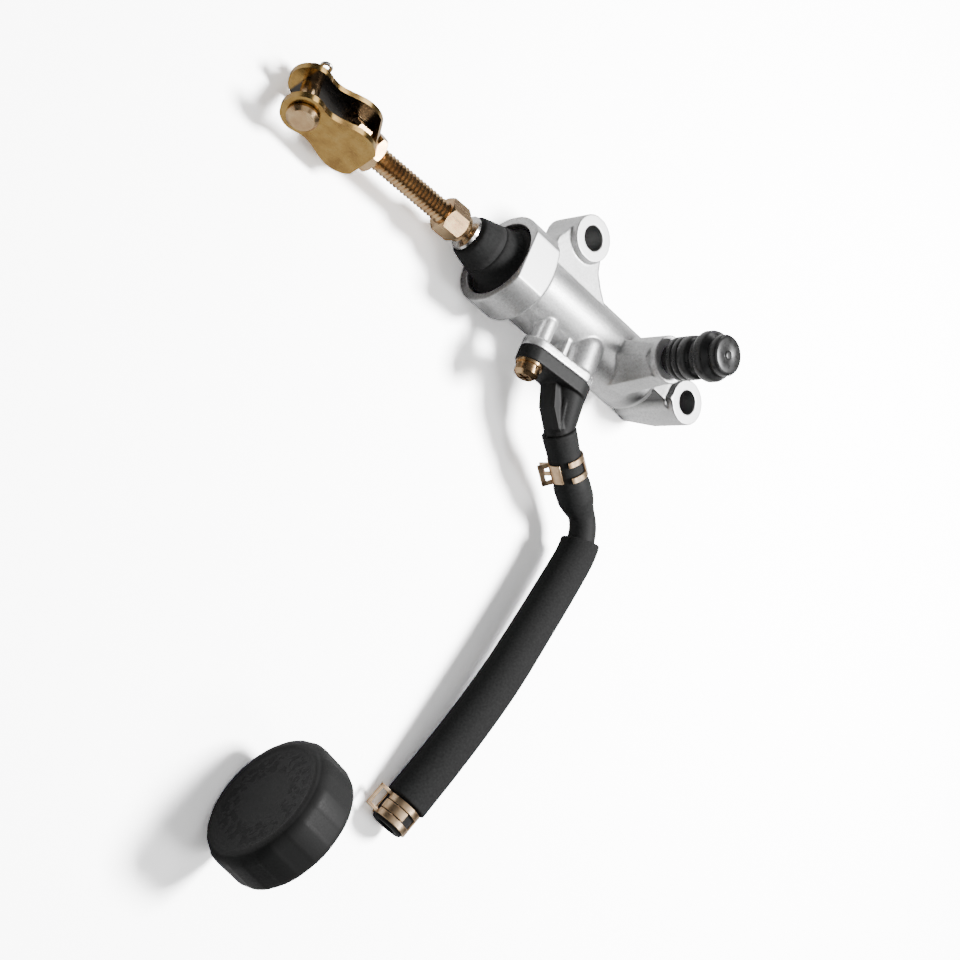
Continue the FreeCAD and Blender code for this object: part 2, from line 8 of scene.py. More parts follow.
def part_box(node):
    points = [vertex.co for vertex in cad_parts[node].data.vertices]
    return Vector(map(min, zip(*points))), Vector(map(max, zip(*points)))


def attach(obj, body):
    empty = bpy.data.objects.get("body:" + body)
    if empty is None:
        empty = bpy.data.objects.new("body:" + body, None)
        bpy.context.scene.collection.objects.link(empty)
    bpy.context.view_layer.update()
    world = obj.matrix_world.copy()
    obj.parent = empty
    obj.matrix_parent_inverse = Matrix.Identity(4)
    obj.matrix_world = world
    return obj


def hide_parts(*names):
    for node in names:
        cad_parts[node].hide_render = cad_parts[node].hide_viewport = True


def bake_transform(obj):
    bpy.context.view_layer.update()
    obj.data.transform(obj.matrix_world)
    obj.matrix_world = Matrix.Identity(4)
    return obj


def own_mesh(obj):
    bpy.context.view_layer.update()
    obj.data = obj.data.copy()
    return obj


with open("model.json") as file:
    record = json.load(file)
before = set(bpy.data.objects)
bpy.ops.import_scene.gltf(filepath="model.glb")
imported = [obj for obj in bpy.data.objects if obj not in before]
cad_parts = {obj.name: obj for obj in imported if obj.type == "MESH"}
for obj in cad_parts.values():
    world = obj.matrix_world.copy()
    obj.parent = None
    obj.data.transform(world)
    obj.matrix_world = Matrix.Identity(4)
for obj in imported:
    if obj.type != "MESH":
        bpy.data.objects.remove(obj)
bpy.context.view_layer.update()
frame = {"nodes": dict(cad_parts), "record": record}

# Sizes are in millimetres, except where a line says metres. MM turns them into metres.
MM = 0.001
X_DIR = Vector((1, 0, 0))
Y_DIR = Vector((0, 1, 0))
Z_DIR = Vector((0, 0, 1))

# Meshes: sides of a turned piece, the angle in degrees from which an edge counts as sharp, and the
# cosine from which an axis counts as upright
ROUND_SIDES = 96
SHARP_ANGLE = 35
UPRIGHT = 0.9

# Camera, with its place and its near limit in metres
CAMERA_PLACE = Vector((0.33905, 0.22087, 0.3373))
CAMERA_RIGHT = Vector((-0.6474, -0.3656, 0.6685))
CAMERA_UP = Vector((0.4892, -0.8716, -0.0036))
CAMERA_LENS = 54.17
CAMERA_SENSOR = 36.0
CAMERA_NEAR = 0.01

# Stage, with heights, places and sizes in metres. Each light is (name, place, power, size).
FLOOR_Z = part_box("cylinder_body")[0].z
FLOOR_DROP = 0.0001
FLOOR_HALF = 4.0
FLOOR_SEEN = 4.8
FLOOR_REFLECTED = 0.44
BACKDROP = 1.3
SKY = [(0.0, 0.015), (0.35, 0.05), (0.85, 0.18)]
LIGHT_TARGET = Vector((0.06, 0.05, 0))
LIGHTS = [
    ("key", (-0.22, -0.12, 0.66), 14.5, 0.2),
    ("fill", (0.45, 0.3, 0.6), 0.4, 0.5),
    ("spark", (-0.23, 0.29, 0.53), 0.8, 0.16),
    ("rim", (0.1, -0.65, 0.2), 0.7, 0.22),
]

# Cylinder body. Two directions and four levels mark where its material changes: the machined faces, and
# the painted shade in the mounting holes and in the recess by the rear boss.
AXIS_Z = -13.3
OUTLET = Vector((27.4, 0.0, 12.7))
MOUNT_HOLES = [Vector((0.0, 0.0, 0.0)), Vector((69.0, -22.9, 0.0))]
HOLE_WALL_R = 4.7
HOLE_WALL_Z = -0.5
MACHINED_Z = -0.14
HOLLOW_END_X = 21.0
TOWARDS_HOSE = Vector((-0.49, 0.87, 0))
OUT_OF_HOLLOW = Vector((0.84, 0.54, 0))

# Boot, pushrod and clevis. The pin's centre and axis are those of its joint.
BALL = Vector((77.0, 0.0, AXIS_Z))
DROOP = math.radians(3.0)
JOINTS = {joint["name"]: joint for joint in frame["record"]["behaviour"]["joints"]}
PIN_CENTRE = Vector(JOINTS["clevis_pin_turn"]["pos_m"]) / MM
PIN_AXIS = Vector(JOINTS["clevis_pin_turn"]["axis"])
EAR_GAP = 10.9
# How far past the pin the painted dark reflection between the ears reaches
PAINTED_REFLECTION_PAST_PIN = 3.0

# Hose, sleeve and clips. The points are those of the hose's route in the CAD, and a table along the
# hose holds (distance from its start, radius).
HOSE_POINTS = [
    (43.2, 37.4, -9.5), (26.8, 49.5, -12.2), (9.2, 58.4, -14.0),
    (13.7, 85.8, -15.0), (24.8, 136.8, -16.0), (36.8, 178.7, -23.3),
]
HOSE_BORE_R = 3.4
HOSE_RADII = [
    (0, 6.1), (8.5, 5.8), (16, 5.7), (21, 6.5), (25, 6.4), (33, 4.7), (43, 4.9), (54, 5.5), (200, 5.7)]
SLEEVE_START = 42.0
SLEEVE_SHORT_OF_END = 9.5
SLEEVE_BORE_R = 5.95
SLEEVE_RADII = [(40, 6.9), (70, 7.1), (110, 7.35)]
SLEEVE_END_R = 7.45
TUBE_LIP = 0.35
TUBE_SIDES = 48
TUBE_STEP = 0.8
PATH_STEP = 1.0
PLACE_STEP = 0.5
WHOLE_LENGTH = math.inf
END_GAP = 1e-6
CLIP_R = 5.85
CLIP_THICKNESS = 0.75
CLIP_WIDTH = 8.0
CLIP_BAND_ANGLES = (20, 200)
CLIP_STRIPS_FROM = 196
CLIP_STEPS_AT_LEAST = 6
CLIP_STEP_DEGREES = 6
CLIP_STRIP_WIDTH = 2.2
CLIP_STRIP_OFFSET = 2.9
UPPER_CLIP_AT = 13.5
LOWER_CLIP_FROM_END = 5.0

# Return spring
SPRING_TURNS = 7
SPRING_START = 23.0
SPRING_LENGTH = 23.0
SPRING_R = 5.6
SPRING_WIRE_R = 0.65
SPRING_WIRE_SIDES = 12
SPRING_STEPS_A_TURN = 36

# Reservoir cap
CAP_R = 21.6
CAP_FACE = Vector((95.6, 188.4, FLOOR_Z / MM + CAP_R))
CAP_TURN = math.radians(-15.5)
CAP_AXIS = Vector((math.cos(CAP_TURN), math.sin(CAP_TURN), 0.0))
CAP_MARKS_R = 20.0
CAP_SIDES = 240
CAP_FLUTES = 12
CAP_FLUTE_DEPTH = 0.25

# Width of the rounded edges on the machined nodes
EDGE_WIDTHS = {
    "clevis": 0.8, "clevis_pin": 0.5, "clevis_inner_nut": 0.2, "clevis_locknut": 0.2, "rod_hex": 0.2,
    "pushrod": 0.2, "elbow_screw": 0.25, "screw_spring_washer": 0.15, "screw_flat_washer": 0.15,
    "boot_collar": 0.2,
}


def make_camera():
    """Camera seen from above the hose side, rolled so that the bore runs down to the right."""
    right = CAMERA_RIGHT.normalized()
    back = right.cross(CAMERA_UP).normalized()
    up = back.cross(right)
    turn = Matrix((right, up, back)).transposed().to_4x4()
    data = bpy.data.cameras.new("camera")
    data.sensor_width = CAMERA_SENSOR
    data.lens = CAMERA_LENS
    data.clip_start = CAMERA_NEAR
    camera = bpy.data.objects.new("camera", data)
    camera.matrix_world = Matrix.Translation(CAMERA_PLACE) @ turn
    bpy.context.scene.collection.objects.link(camera)
    bpy.context.scene.camera = camera


# Mesh helpers

def new_object(name, vertices, faces):
    mesh = bpy.data.meshes.new(name)
    mesh.from_pydata([tuple(Vector(v) * MM) for v in vertices], [], faces)
    mesh.validate()
    mesh.update()
    obj = bpy.data.objects.new(name, mesh)
    bpy.context.scene.collection.objects.link(obj)
    for polygon in mesh.polygons:
        polygon.use_smooth = True
    return obj


def skin(name, rings, closed=False):
    """Mesh over rings of equal count. Open ends are capped unless the rings close on themselves."""
    count = len(rings[0])
    vertices = [point for ring in rings for point in ring]
    faces = []
    last = len(rings) if closed else len(rings) - 1
    for i in range(last):
        a = i * count
        b = ((i + 1) % len(rings)) * count
        for j in range(count):
            k = (j + 1) % count
            faces.append((a + j, a + k, b + k, b + j))
    if not closed:
        faces.append(tuple(reversed(range(count))))
        faces.append(tuple(range(last * count, last * count + count)))
    obj = new_object(name, vertices, faces)
    fix_normals(obj)
    return obj


def fix_normals(obj):
    work = bmesh.new()
    work.from_mesh(obj.data)
    bmesh.ops.recalc_face_normals(work, faces=work.faces)
    work.to_mesh(obj.data)
    work.free()


def circle(centre, axis, radius, count, up=None):
    """Ring of points round an axis. The first is at right angles to the axis and to up."""
    axis = Vector(axis).normalized()
    if up is None:
        up = Z_DIR if abs(axis.z) < UPRIGHT else X_DIR
    side = axis.cross(up).normalized()
    top = side.cross(axis)
    ring = []
    for step in range(count):
        angle = 2 * math.pi * step / count
        ring.append(Vector(centre) + side * (radius * math.cos(angle)) + top * (radius * math.sin(angle)))
    return ring


def rounded(obj, width, segments=3):
    bevel = obj.modifiers.new("bevel", "BEVEL")
    bevel.width = width * MM
    bevel.segments = segments
    bevel.limit_method = "ANGLE"
    bevel.angle_limit = math.radians(SHARP_ANGLE)
    bevel.harden_normals = False


def smooth_by_angle(obj, angle=SHARP_ANGLE):
    obj.data.set_sharp_from_angle(angle=math.radians(angle))


# Material helpers

def shader(name):
    material = bpy.data.materials.new(name)
    material.use_nodes = True
    tree = material.node_tree
    return material, tree, tree.nodes["Principled BSDF"]


def noise(tree, scale, detail=4.0, roughness=0.55, stretch=(1, 1, 1)):
    place = tree.nodes.new("ShaderNodeTexCoord")
    mapping = tree.nodes.new("ShaderNodeMapping")
    mapping.inputs["Scale"].default_value = stretch
    texture = tree.nodes.new("ShaderNodeTexNoise")
    texture.inputs["Scale"].default_value = scale
    texture.inputs["Detail"].default_value = detail
    texture.inputs["Roughness"].default_value = roughness
    tree.links.new(place.outputs["Object"], mapping.inputs["Vector"])
    tree.links.new(mapping.outputs["Vector"], texture.inputs["Vector"])
    return texture.outputs["Fac"]


def colour(level):
    """Opaque colour from a colour tuple or one grey level."""
    red, green, blue = level if isinstance(level, tuple) else (level, level, level)
    return (red, green, blue, 1)


def ramp(tree, value, stops):
    """Colour from a value. Each stop is (value, colour tuple or grey level)."""
    node = tree.nodes.new("ShaderNodeValToRGB")
    elements = node.color_ramp.elements
    elements.remove(elements[1])
    elements[0].position = stops[0][0]
    elements[0].color = colour(stops[0][1])
    for place, level in stops[1:]:
        elements.new(place).color = colour(level)
    tree.links.new(value, node.inputs["Fac"])
    return node.outputs["Color"]


def bump(tree, bsdf, height, strength, distance):
    node = tree.nodes.new("ShaderNodeBump")
    node.inputs["Strength"].default_value = strength
    node.inputs["Distance"].default_value = distance * MM
    tree.links.new(height, node.inputs["Height"])
    tree.links.new(node.outputs["Normal"], bsdf.inputs["Normal"])


def math_node(tree, operation, *values):
    node = tree.nodes.new("ShaderNodeMath")
    node.operation = operation
    for value, socket in zip(values, node.inputs):
        if isinstance(value, (int, float)):
            socket.default_value = value
        else:
            tree.links.new(value, socket)
    return node.outputs["Value"]


def vector_node(tree, operation, first, second, output="Value"):
    """Vector maths between a socket and a fixed vector."""
    node = tree.nodes.new("ShaderNodeVectorMath")
    node.operation = operation
    tree.links.new(first, node.inputs[0])
    node.inputs[1].default_value = second
    return node.outputs[output]


def over(tree, value, level, soft):
    """1 where a value is over a level, with a step that is soft on both sides of it."""
    spread = tree.nodes.new("ShaderNodeMapRange")
    spread.inputs["From Min"].default_value = level - soft
    spread.inputs["From Max"].default_value = level + soft
    tree.links.new(value, spread.inputs["Value"])
    return spread.outputs["Result"]


def below(tree, value, level, soft):
    """1 where a value is under a level, with the same soft step."""
    return over(tree, value, level, -soft)


def choose(tree, mask, low, high):
    """low where the mask is 0 and high where it is 1. Each is a socket, a colour or a grey level."""
    node = tree.nodes.new("ShaderNodeMixRGB")
    tree.links.new(mask, node.inputs["Fac"])
    for value, socket in ((low, node.inputs["Color1"]), (high, node.inputs["Color2"])):
        if isinstance(value, (int, float, tuple)):
            socket.default_value = colour(value)
        else:
            tree.links.new(value, socket)
    return node.outputs["Color"]


# Masks, each 1 on one kind of surface. Levels for directions are cosines.

def cut_faces(tree):
    """Machined faces: those that face straight up above the barrel."""
    normal = tree.nodes.new("ShaderNodeNewGeometry").outputs["Normal"]
    place = tree.nodes.new("ShaderNodeTexCoord").outputs["Object"]
    flat = over(tree, vector_node(tree, "DOT_PRODUCT", normal, Z_DIR), 0.955, soft=0.025)
    high = over(tree, vector_node(tree, "DOT_PRODUCT", place, Z_DIR), MACHINED_Z * MM, soft=0.06 * MM)
    return math_node(tree, "MULTIPLY", flat, high)


def hole_painted_shade(tree):
    """Insides of the mounting holes, where shade is painted."""
    place = tree.nodes.new("ShaderNodeTexCoord").outputs["Object"]
    flat = vector_node(tree, "MULTIPLY", place, (1, 1, 0), "Vector")
    near = []
    for hole in MOUNT_HOLES:
        distance = vector_node(tree, "DISTANCE", flat, hole * MM)
        near.append(below(tree, distance, HOLE_WALL_R * MM, soft=0.1 * MM))
    deep = below(tree, vector_node(tree, "DOT_PRODUCT", place, Z_DIR), HOLE_WALL_Z * MM, soft=0.15 * MM)
    return math_node(tree, "MULTIPLY", math_node(tree, "MAXIMUM", *near), deep)


def hollow_painted_shade(tree):
    """Painted shade and dark reflection in the recess between the rear boss and the barrel, on the side of
    the hose.
    """
    place = tree.nodes.new("ShaderNodeTexCoord")
    facing = vector_node(tree, "DOT_PRODUCT", place.outputs["Normal"], OUT_OF_HOLLOW)
    upward = vector_node(tree, "DOT_PRODUCT", place.outputs["Normal"], Z_DIR)
    across = vector_node(tree, "DOT_PRODUCT", place.outputs["Object"], TOWARDS_HOSE)
    along = vector_node(tree, "DOT_PRODUCT", place.outputs["Object"], X_DIR)
    outward = over(tree, facing, -0.25, soft=0.1)
    turned = math_node(tree, "MULTIPLY", outward, below(tree, upward, 0.8, soft=0.08))
    beside = below(tree, across, 0.8 * MM, soft=1.6 * MM)
    near = math_node(tree, "MULTIPLY", beside, below(tree, along, HOLLOW_END_X * MM, soft=2 * MM))
    return math_node(tree, "MULTIPLY", turned, near)


def ears_painted_reflection(tree):
    """Inner faces of the clevis ears, up to just past the pin, where a dark reflection is painted."""
    place = tree.nodes.new("ShaderNodeTexCoord")
    from_pin = vector_node(tree, "SUBTRACT", place.outputs["Object"], PIN_CENTRE * MM, "Vector")
    along = math_node(tree, "ABSOLUTE", vector_node(tree, "DOT_PRODUCT", from_pin, PIN_AXIS))
    turned = vector_node(tree, "DOT_PRODUCT", place.outputs["Normal"], PIN_AXIS)
    facing = math_node(tree, "GREATER_THAN", math_node(tree, "ABSOLUTE", turned), 0.9)
    inner = below(tree, along, (EAR_GAP / 2 + 0.25) * MM, soft=0.1 * MM)
    past_pin = vector_node(tree, "DOT_PRODUCT", from_pin, X_DIR)
    near = below(tree, past_pin, PAINTED_REFLECTION_PAST_PIN * MM, soft=0.4 * MM)
    return math_node(tree, "MULTIPLY", math_node(tree, "MULTIPLY", inner, facing), near)


# Materials

def cast_aluminium():
    """Grainy cast metal with pale machined faces, and painted shade in the mounting holes and in the
    recess by the rear boss.
    """
    material, tree, bsdf = shader("cast_aluminium")
    bsdf.inputs["Metallic"].default_value = 0.85
    grain = noise(tree, 1500, detail=8, roughness=0.7)
    fleck = ramp(tree, noise(tree, 1100, detail=4, roughness=0.8), [(0.35, 0.0), (0.65, 1.0)])
    pale = ramp(tree, noise(tree, 70, detail=3), [(0.3, 0.68), (0.7, 0.84)])
    cast = choose(tree, fleck, 0.56, pale)
    # Painted shade and dark reflection: the recess by the rear boss is coloured dark grey.
    cast = choose(tree, hollow_painted_shade(tree), cast, 0.1)
    machined = cut_faces(tree)
    outside = choose(tree, machined, cast, 0.9)
    # Painted shade: the insides of the mounting holes are coloured a darker grey.
    tree.links.new(choose(tree, hole_painted_shade(tree), outside, 0.3), bsdf.inputs["Base Color"])
    rough = ramp(tree, grain, [(0.3, 0.32), (0.75, 0.5)])
    tree.links.new(choose(tree, machined, rough, 0.5), bsdf.inputs["Roughness"])
    bump(tree, bsdf, grain, strength=0.5, distance=0.1)
    return material


def yellow_zinc(name, tints, painted_reflection_inside=False, roughness=0.18):
    """Plated steel with clouded colour and fine scratches. It can also paint a dark reflection on the
    inner faces of the clevis ears.
    """
    material, tree, bsdf = shader(name)
    bsdf.inputs["Metallic"].default_value = 1.0
    cloud = noise(tree, 160, detail=4, roughness=0.65)
    scratch = noise(tree, 700, detail=5, roughness=0.6, stretch=(0.25, 1, 1))
    tint = ramp(tree, cloud, list(zip((0.32, 0.5, 0.68), tints)))
    # Painted dark reflection on the inner faces of the clevis ears
    if painted_reflection_inside:
        tint = choose(tree, ears_painted_reflection(tree), tint, (0.07, 0.065, 0.06))
    tree.links.new(tint, bsdf.inputs["Base Color"])
    worn = ramp(tree, scratch, [(0.3, roughness), (0.7, roughness + 0.12)])
    tree.links.new(worn, bsdf.inputs["Roughness"])
    bump(tree, bsdf, scratch, strength=0.12, distance=0.05)
    return material


def dark(name, level, roughness, scale, strength, shine):
    """Black rubber or plastic with a fine grain."""
    material, tree, bsdf = shader(name)
    bsdf.inputs["Specular IOR Level"].default_value = shine
    grain = noise(tree, scale, detail=5, roughness=0.6)
    tint = ramp(tree, grain, [(0.3, level * 0.75), (0.7, level * 1.3)])
    tree.links.new(tint, bsdf.inputs["Base Color"])
    rough = ramp(tree, grain, [(0.3, roughness - 0.06), (0.7, roughness + 0.08)])
    tree.links.new(rough, bsdf.inputs["Roughness"])
    bump(tree, bsdf, grain, strength, distance=0.08)
    return material


def cap_plastic():
    """Black moulding with a mottled ring between two radii of its face, and painted light: the face is
    coloured lighter than the side.
    """
    material, tree, bsdf = shader("cap_plastic")
    bsdf.inputs["Specular IOR Level"].default_value = 0.14
    place = tree.nodes.new("ShaderNodeTexCoord").outputs["Object"]
    from_centre = vector_node(tree, "DISTANCE", place, CAP_FACE * MM)
    # 0 at the centre of the face and 1 at CAP_MARKS_R
    reach = over(tree, from_centre, CAP_MARKS_R / 2 * MM, soft=CAP_MARKS_R / 2 * MM)
    band = ramp(tree, reach, [(0.0, 0.0), (0.42, 0.0), (0.48, 1.0), (0.76, 1.0), (0.82, 0.0)])
    blotch = noise(tree, 420, detail=2, roughness=0.5)
    crisp = ramp(tree, blotch, [(0.46, 0.0), (0.54, 1.0)])
    mark = choose(tree, band, 0.0, crisp)
    # Painted light: the face is coloured lighter than the side, standing in for light that falls on it
    face = ramp(tree, reach, [(0.0, 1.0), (0.97, 1.0), (1.0, 0.0)])
    plain = choose(tree, face, 0.017, 0.043)
    tree.links.new(choose(tree, mark, plain, 0.028), bsdf.inputs["Base Color"])
    grain = noise(tree, 1800, detail=5)
    tree.links.new(ramp(tree, grain, [(0.3, 0.46), (0.7, 0.6)]), bsdf.inputs["Roughness"])
    height = math_node(tree, "MULTIPLY_ADD", mark, 2.0, grain)
    bump(tree, bsdf, height, strength=0.35, distance=0.12)
    return material


def spring_steel():
    material, tree, bsdf = shader("spring_steel")
    bsdf.inputs["Metallic"].default_value = 1.0
    bsdf.inputs["Base Color"].default_value = (0.72, 0.71, 0.69, 1)
    grain = noise(tree, 900, detail=4)
    tree.links.new(ramp(tree, grain, [(0.3, 0.2), (0.7, 0.34)]), bsdf.inputs["Roughness"])
    return material


CAST = cast_aluminium()
ZINC = yellow_zinc("yellow_zinc", [(0.42, 0.26, 0.14), (0.58, 0.38, 0.2), (0.70, 0.50, 0.28)])
# The clevis has a painted dark reflection between its ears
CLEVIS = yellow_zinc(
    "olive_zinc", [(0.31, 0.18, 0.06), (0.43, 0.265, 0.082), (0.5, 0.335, 0.12)], painted_reflection_inside=True)
CLIP = yellow_zinc("clip_zinc", [(0.5, 0.34, 0.2), (0.67, 0.47, 0.29), (0.78, 0.59, 0.38)], roughness=0.26)
STEEL = spring_steel()
BOOT = dark("boot_rubber", level=0.024, roughness=0.7, scale=900, strength=0.12, shine=0.12)
HOSE = dark("hose_rubber", level=0.02, roughness=0.62, scale=1100, strength=0.1, shine=0.12)
SLEEVE = dark("sleeve_rubber", level=0.022, roughness=0.8, scale=1300, strength=0.16, shine=0.06)
PLUG = dark("plug_rubber", level=0.018, roughness=0.3, scale=500, strength=0.06, shine=0.45)
PLASTIC = dark("black_plastic", level=0.016, roughness=0.5, scale=1500, strength=0.12, shine=0.16)
CAP = cap_plastic()

FINISHES = {
    "cast_aluminium": CAST, "machined_aluminium": STEEL, "seal_rubber": BOOT, "boot_rubber": BOOT,
    "hose_rubber": HOSE, "plug_rubber": PLUG, "spring_steel": STEEL, "yellow_zinc": ZINC,
    "black_plastic": PLASTIC,
}


def paint(obj, material):
    obj.data.materials.clear()
    obj.data.materials.append(material)


# CAD nodes

def paint_cad_nodes():
    """Materials by slot. The clevis has a browner plating than the other plated nodes."""
    for part in frame["record"]["subparts"]:
        node = part["node"]
        paint(frame["nodes"][node], CLEVIS if node == "clevis" else FINISHES[part["material_slot"]])


def moulded(name, size, passes):
    """Rounds a moulded node's corners and fills its inner corners."""
    node = frame["nodes"][name]
    remesh = node.modifiers.new("mould", "REMESH")
    remesh.mode = "VOXEL"
    remesh.voxel_size = size * MM
    remesh.use_smooth_shade = True
    relax = node.modifiers.new("relax", "SMOOTH")
    relax.factor = 0.5
    relax.iterations = passes


def round_edges():
    for name, width in EDGE_WIDTHS.items():
        node = frame["nodes"][name]
        rounded(node, width)
        smooth_by_angle(node)


# Hose

def cord_line():
    """The hose's centreline, read from a spline through its points."""
    curve = bpy.data.curves.new("hose_line", "CURVE")
    curve.dimensions = "3D"
    curve.resolution_u = 40
    spline = curve.splines.new("NURBS")
    spline.points.add(len(HOSE_POINTS) - 1)
    for point, place in zip(spline.points, HOSE_POINTS):
        point.co = (*(Vector(place) * MM), 1)
    spline.order_u = 3
    spline.use_endpoint_u = True
    guide = bpy.data.objects.new("hose_line", curve)
    bpy.context.scene.collection.objects.link(guide)
    bpy.context.view_layer.update()
    mesh = bpy.data.meshes.new_from_object(guide.evaluated_get(bpy.context.evaluated_depsgraph_get()))
    line = [vertex.co / MM for vertex in mesh.vertices]
    bpy.data.objects.remove(guide)
    bpy.data.meshes.remove(mesh)
    return line


def walk(line, start, end, step):
    """Evenly spaced (distance, point, direction) along part of a line."""
    places = []
    lengths = [0.0]
    for a, b in zip(line, line[1:]):
        lengths.append(lengths[-1] + (b - a).length)
    end = min(end, lengths[-1] - END_GAP)
    count = max(2, int((end - start) / step))
    for i in range(count + 1):
        distance = start + (end - start) * i / count
        k = next(n for n in range(1, len(lengths)) if lengths[n] >= distance)
        share = (distance - lengths[k - 1]) / (lengths[k] - lengths[k - 1])
        point = line[k - 1].lerp(line[k], share)
        before = line[max(k - 2, 0)]
        after = line[min(k + 1, len(line) - 1)]
        places.append((distance, point, (after - before).normalized()))
    return places


def blend_value(table, place):
    """Smooth interpolation in a short table of (place, value)."""
    if place <= table[0][0]:
        return table[0][1]
    for (a, low), (b, high) in zip(table, table[1:]):
        if place <= b:
            t = (place - a) / (b - a)
            return low + (high - low) * t * t * (3 - 2 * t)
    return table[-1][1]


def tube(name, line, start, end, radii, bore_radius):
    """Open tube with a wall and chamfered ends. radii is a table along the line."""
    places = walk(line, start, end, TUBE_STEP)
    _, first, first_way = places[0]
    _, last, last_way = places[-1]
    first_radius = blend_value(radii, start)
    last_radius = blend_value(radii, end)
    spots = [(first, first_way, first_radius - TUBE_LIP),
             (first + first_way * TUBE_LIP, first_way, first_radius)]
    spots += [(point, way, blend_value(radii, distance)) for distance, point, way in places[1:-1]]
    spots += [(last - last_way * TUBE_LIP, last_way, last_radius),
              (last, last_way, last_radius - TUBE_LIP)]
    spots += [(point, way, bore_radius) for _, point, way in reversed(places)]
    rings = [circle(point, way, radius, TUBE_SIDES, up=Z_DIR) for point, way, radius in spots]
    return skin(name, rings, closed=True)


def strip(name, place, offset, width, angle_start, angle_end, up):
    """Bent strip of a hose clip: an arc round the hose with its own width and offset along it."""
    centre, axis = place
    side = axis.cross(up).normalized()
    outer = CLIP_R + CLIP_THICKNESS
    rings = []
    count = max(CLIP_STEPS_AT_LEAST, int(abs(angle_end - angle_start) / CLIP_STEP_DEGREES))
    for i in range(count + 1):
        angle = math.radians(angle_start + (angle_end - angle_start) * i / count)
        out = up * math.cos(angle) + side * math.sin(angle)
        rings.append([centre + out * radius + axis * (offset + share * width)
                      for radius, share in ((CLIP_R, -0.5), (outer, -0.5), (outer, 0.5), (CLIP_R, 0.5))])
    return skin(name, rings)


def tab(name, corner, along_a, along_b, along_c):
    """Small box from one corner and three edges."""
    rings = []
    for base in (corner, corner + along_c):
        rings.append([base, base + along_a, base + along_a + along_b, base + along_b])
    return skin(name, rings)


def merge(name, objects):
    for obj in bpy.context.selected_objects:
        obj.select_set(False)
    for obj in objects:
        obj.select_set(True)
    bpy.context.view_layer.objects.active = objects[0]
    bpy.ops.object.join()
    joined = bpy.context.view_layer.objects.active
    joined.name = name
    joined.select_set(False)
    return joined


def ear(name, place, angle, lean, width, height, bar, up):
    """Pinch lug of a clip: an open frame of two uprights and a top bar."""
    centre, axis = place
    side = axis.cross(up).normalized()
    turn = math.radians(angle)
    out = up * math.cos(turn) + side * math.sin(turn)
    across = axis.cross(out).normalized()
    rise = (out + across * lean).normalized()
    thick = across * CLIP_THICKNESS
    low = centre + out * CLIP_R - axis * (width / 2)
    return [
        tab(name + "_left", low, rise * height, thick, axis * bar),
        tab(name + "_right", low + axis * (width - bar), rise * height, thick, axis * bar),
        tab(name + "_top", low + rise * (height - bar), rise * bar, thick, axis * width),
    ]


def spring_clip(name, centre, axis, up, strips_end, tongue, ears):
    """Spring clip: a full band at the back, two side strips, a tongue between them and its lugs."""
    axis = axis.normalized()
    up = (up - axis * up.dot(axis)).normalized()
    place = (centre, axis)
    offset = CLIP_STRIP_OFFSET
    width = CLIP_STRIP_WIDTH
    pieces = [
        strip(name + "_band", place, 0, CLIP_WIDTH, *CLIP_BAND_ANGLES, up),
        strip(name + "_near", place, -offset, width, CLIP_STRIPS_FROM, strips_end, up),
        strip(name + "_far", place, offset, width, CLIP_STRIPS_FROM, strips_end, up),
        strip(name + "_tongue", place, 0, *tongue, up),
    ]
    for number, values in enumerate(ears):
        pieces += ear("%s_ear%d" % (name, number), place, *values, up)
    clip = merge(name, pieces)
    smooth_by_angle(clip)
    rounded(clip, 0.15, segments=2)
    return clip


def make_clips(line, total):
    """Two clips. Each row has its name, its place along the hose, its up direction, the angle where
    its side strips end, its tongue (width, first angle, last angle) and its lugs (angle, lean,
    width, height, bar)."""
    clips = []
    for name, at, up, strips_end, tongue, ears in (
            ("hose_clip_upper", UPPER_CLIP_AT, Vector((0.65, 0.37, -0.67)), 262, (7.0, 290, 338),
             [(338, 0.3, 8.0, 4.2, 1.7), (14, 0.3, 5.0, 4.2, 1.5)]),
            ("hose_clip_lower", total - LOWER_CLIP_FROM_END, Vector((0.95, -0.15, -0.28)), 342,
             (3.0, 262, 345), [(342, 0.4, 8.2, 5.2, 1.3)])):
        _, point, direction = walk(line, 0, at, PLACE_STEP)[-1]
        clip = spring_clip(name + "_band", point, direction, up, strips_end, tongue, ears)
        paint(clip, CLIP)
        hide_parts(name)
        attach(clip, "body")
        clips.append(clip)
    return clips


def make_hose():
    """Hose with the sleeve over it and its clips, which move with it as one cord."""
    line = cord_line()
    centres = walk(line, 0, WHOLE_LENGTH, PATH_STEP)
    total = centres[-1][0]
    hose = tube("hose_tube", line, 0, WHOLE_LENGTH, HOSE_RADII, HOSE_BORE_R)
    paint(hose, HOSE)
    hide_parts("hose")
    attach(hose, "body")
    sleeve = tube("hose_sleeve_tube", line, SLEEVE_START, total - SLEEVE_SHORT_OF_END,
                  SLEEVE_RADII + [(total, SLEEVE_END_R)], SLEEVE_BORE_R)
    paint(sleeve, SLEEVE)
    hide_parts("hose_sleeve")
    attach(sleeve, "body")
    clips = make_clips(line, total)


# Boot

def boot_skin(name, profile):
    """Skin from (x, radius, share of the rod's droop)."""
    rings = []
    for x, radius, share in profile:
        drop = share * (x - BALL.x) * math.tan(DROOP)
        rings.append(circle(Vector((x, 0, AXIS_Z - drop)), X_DIR, radius, ROUND_SIDES))
    return skin(name, rings, closed=True)


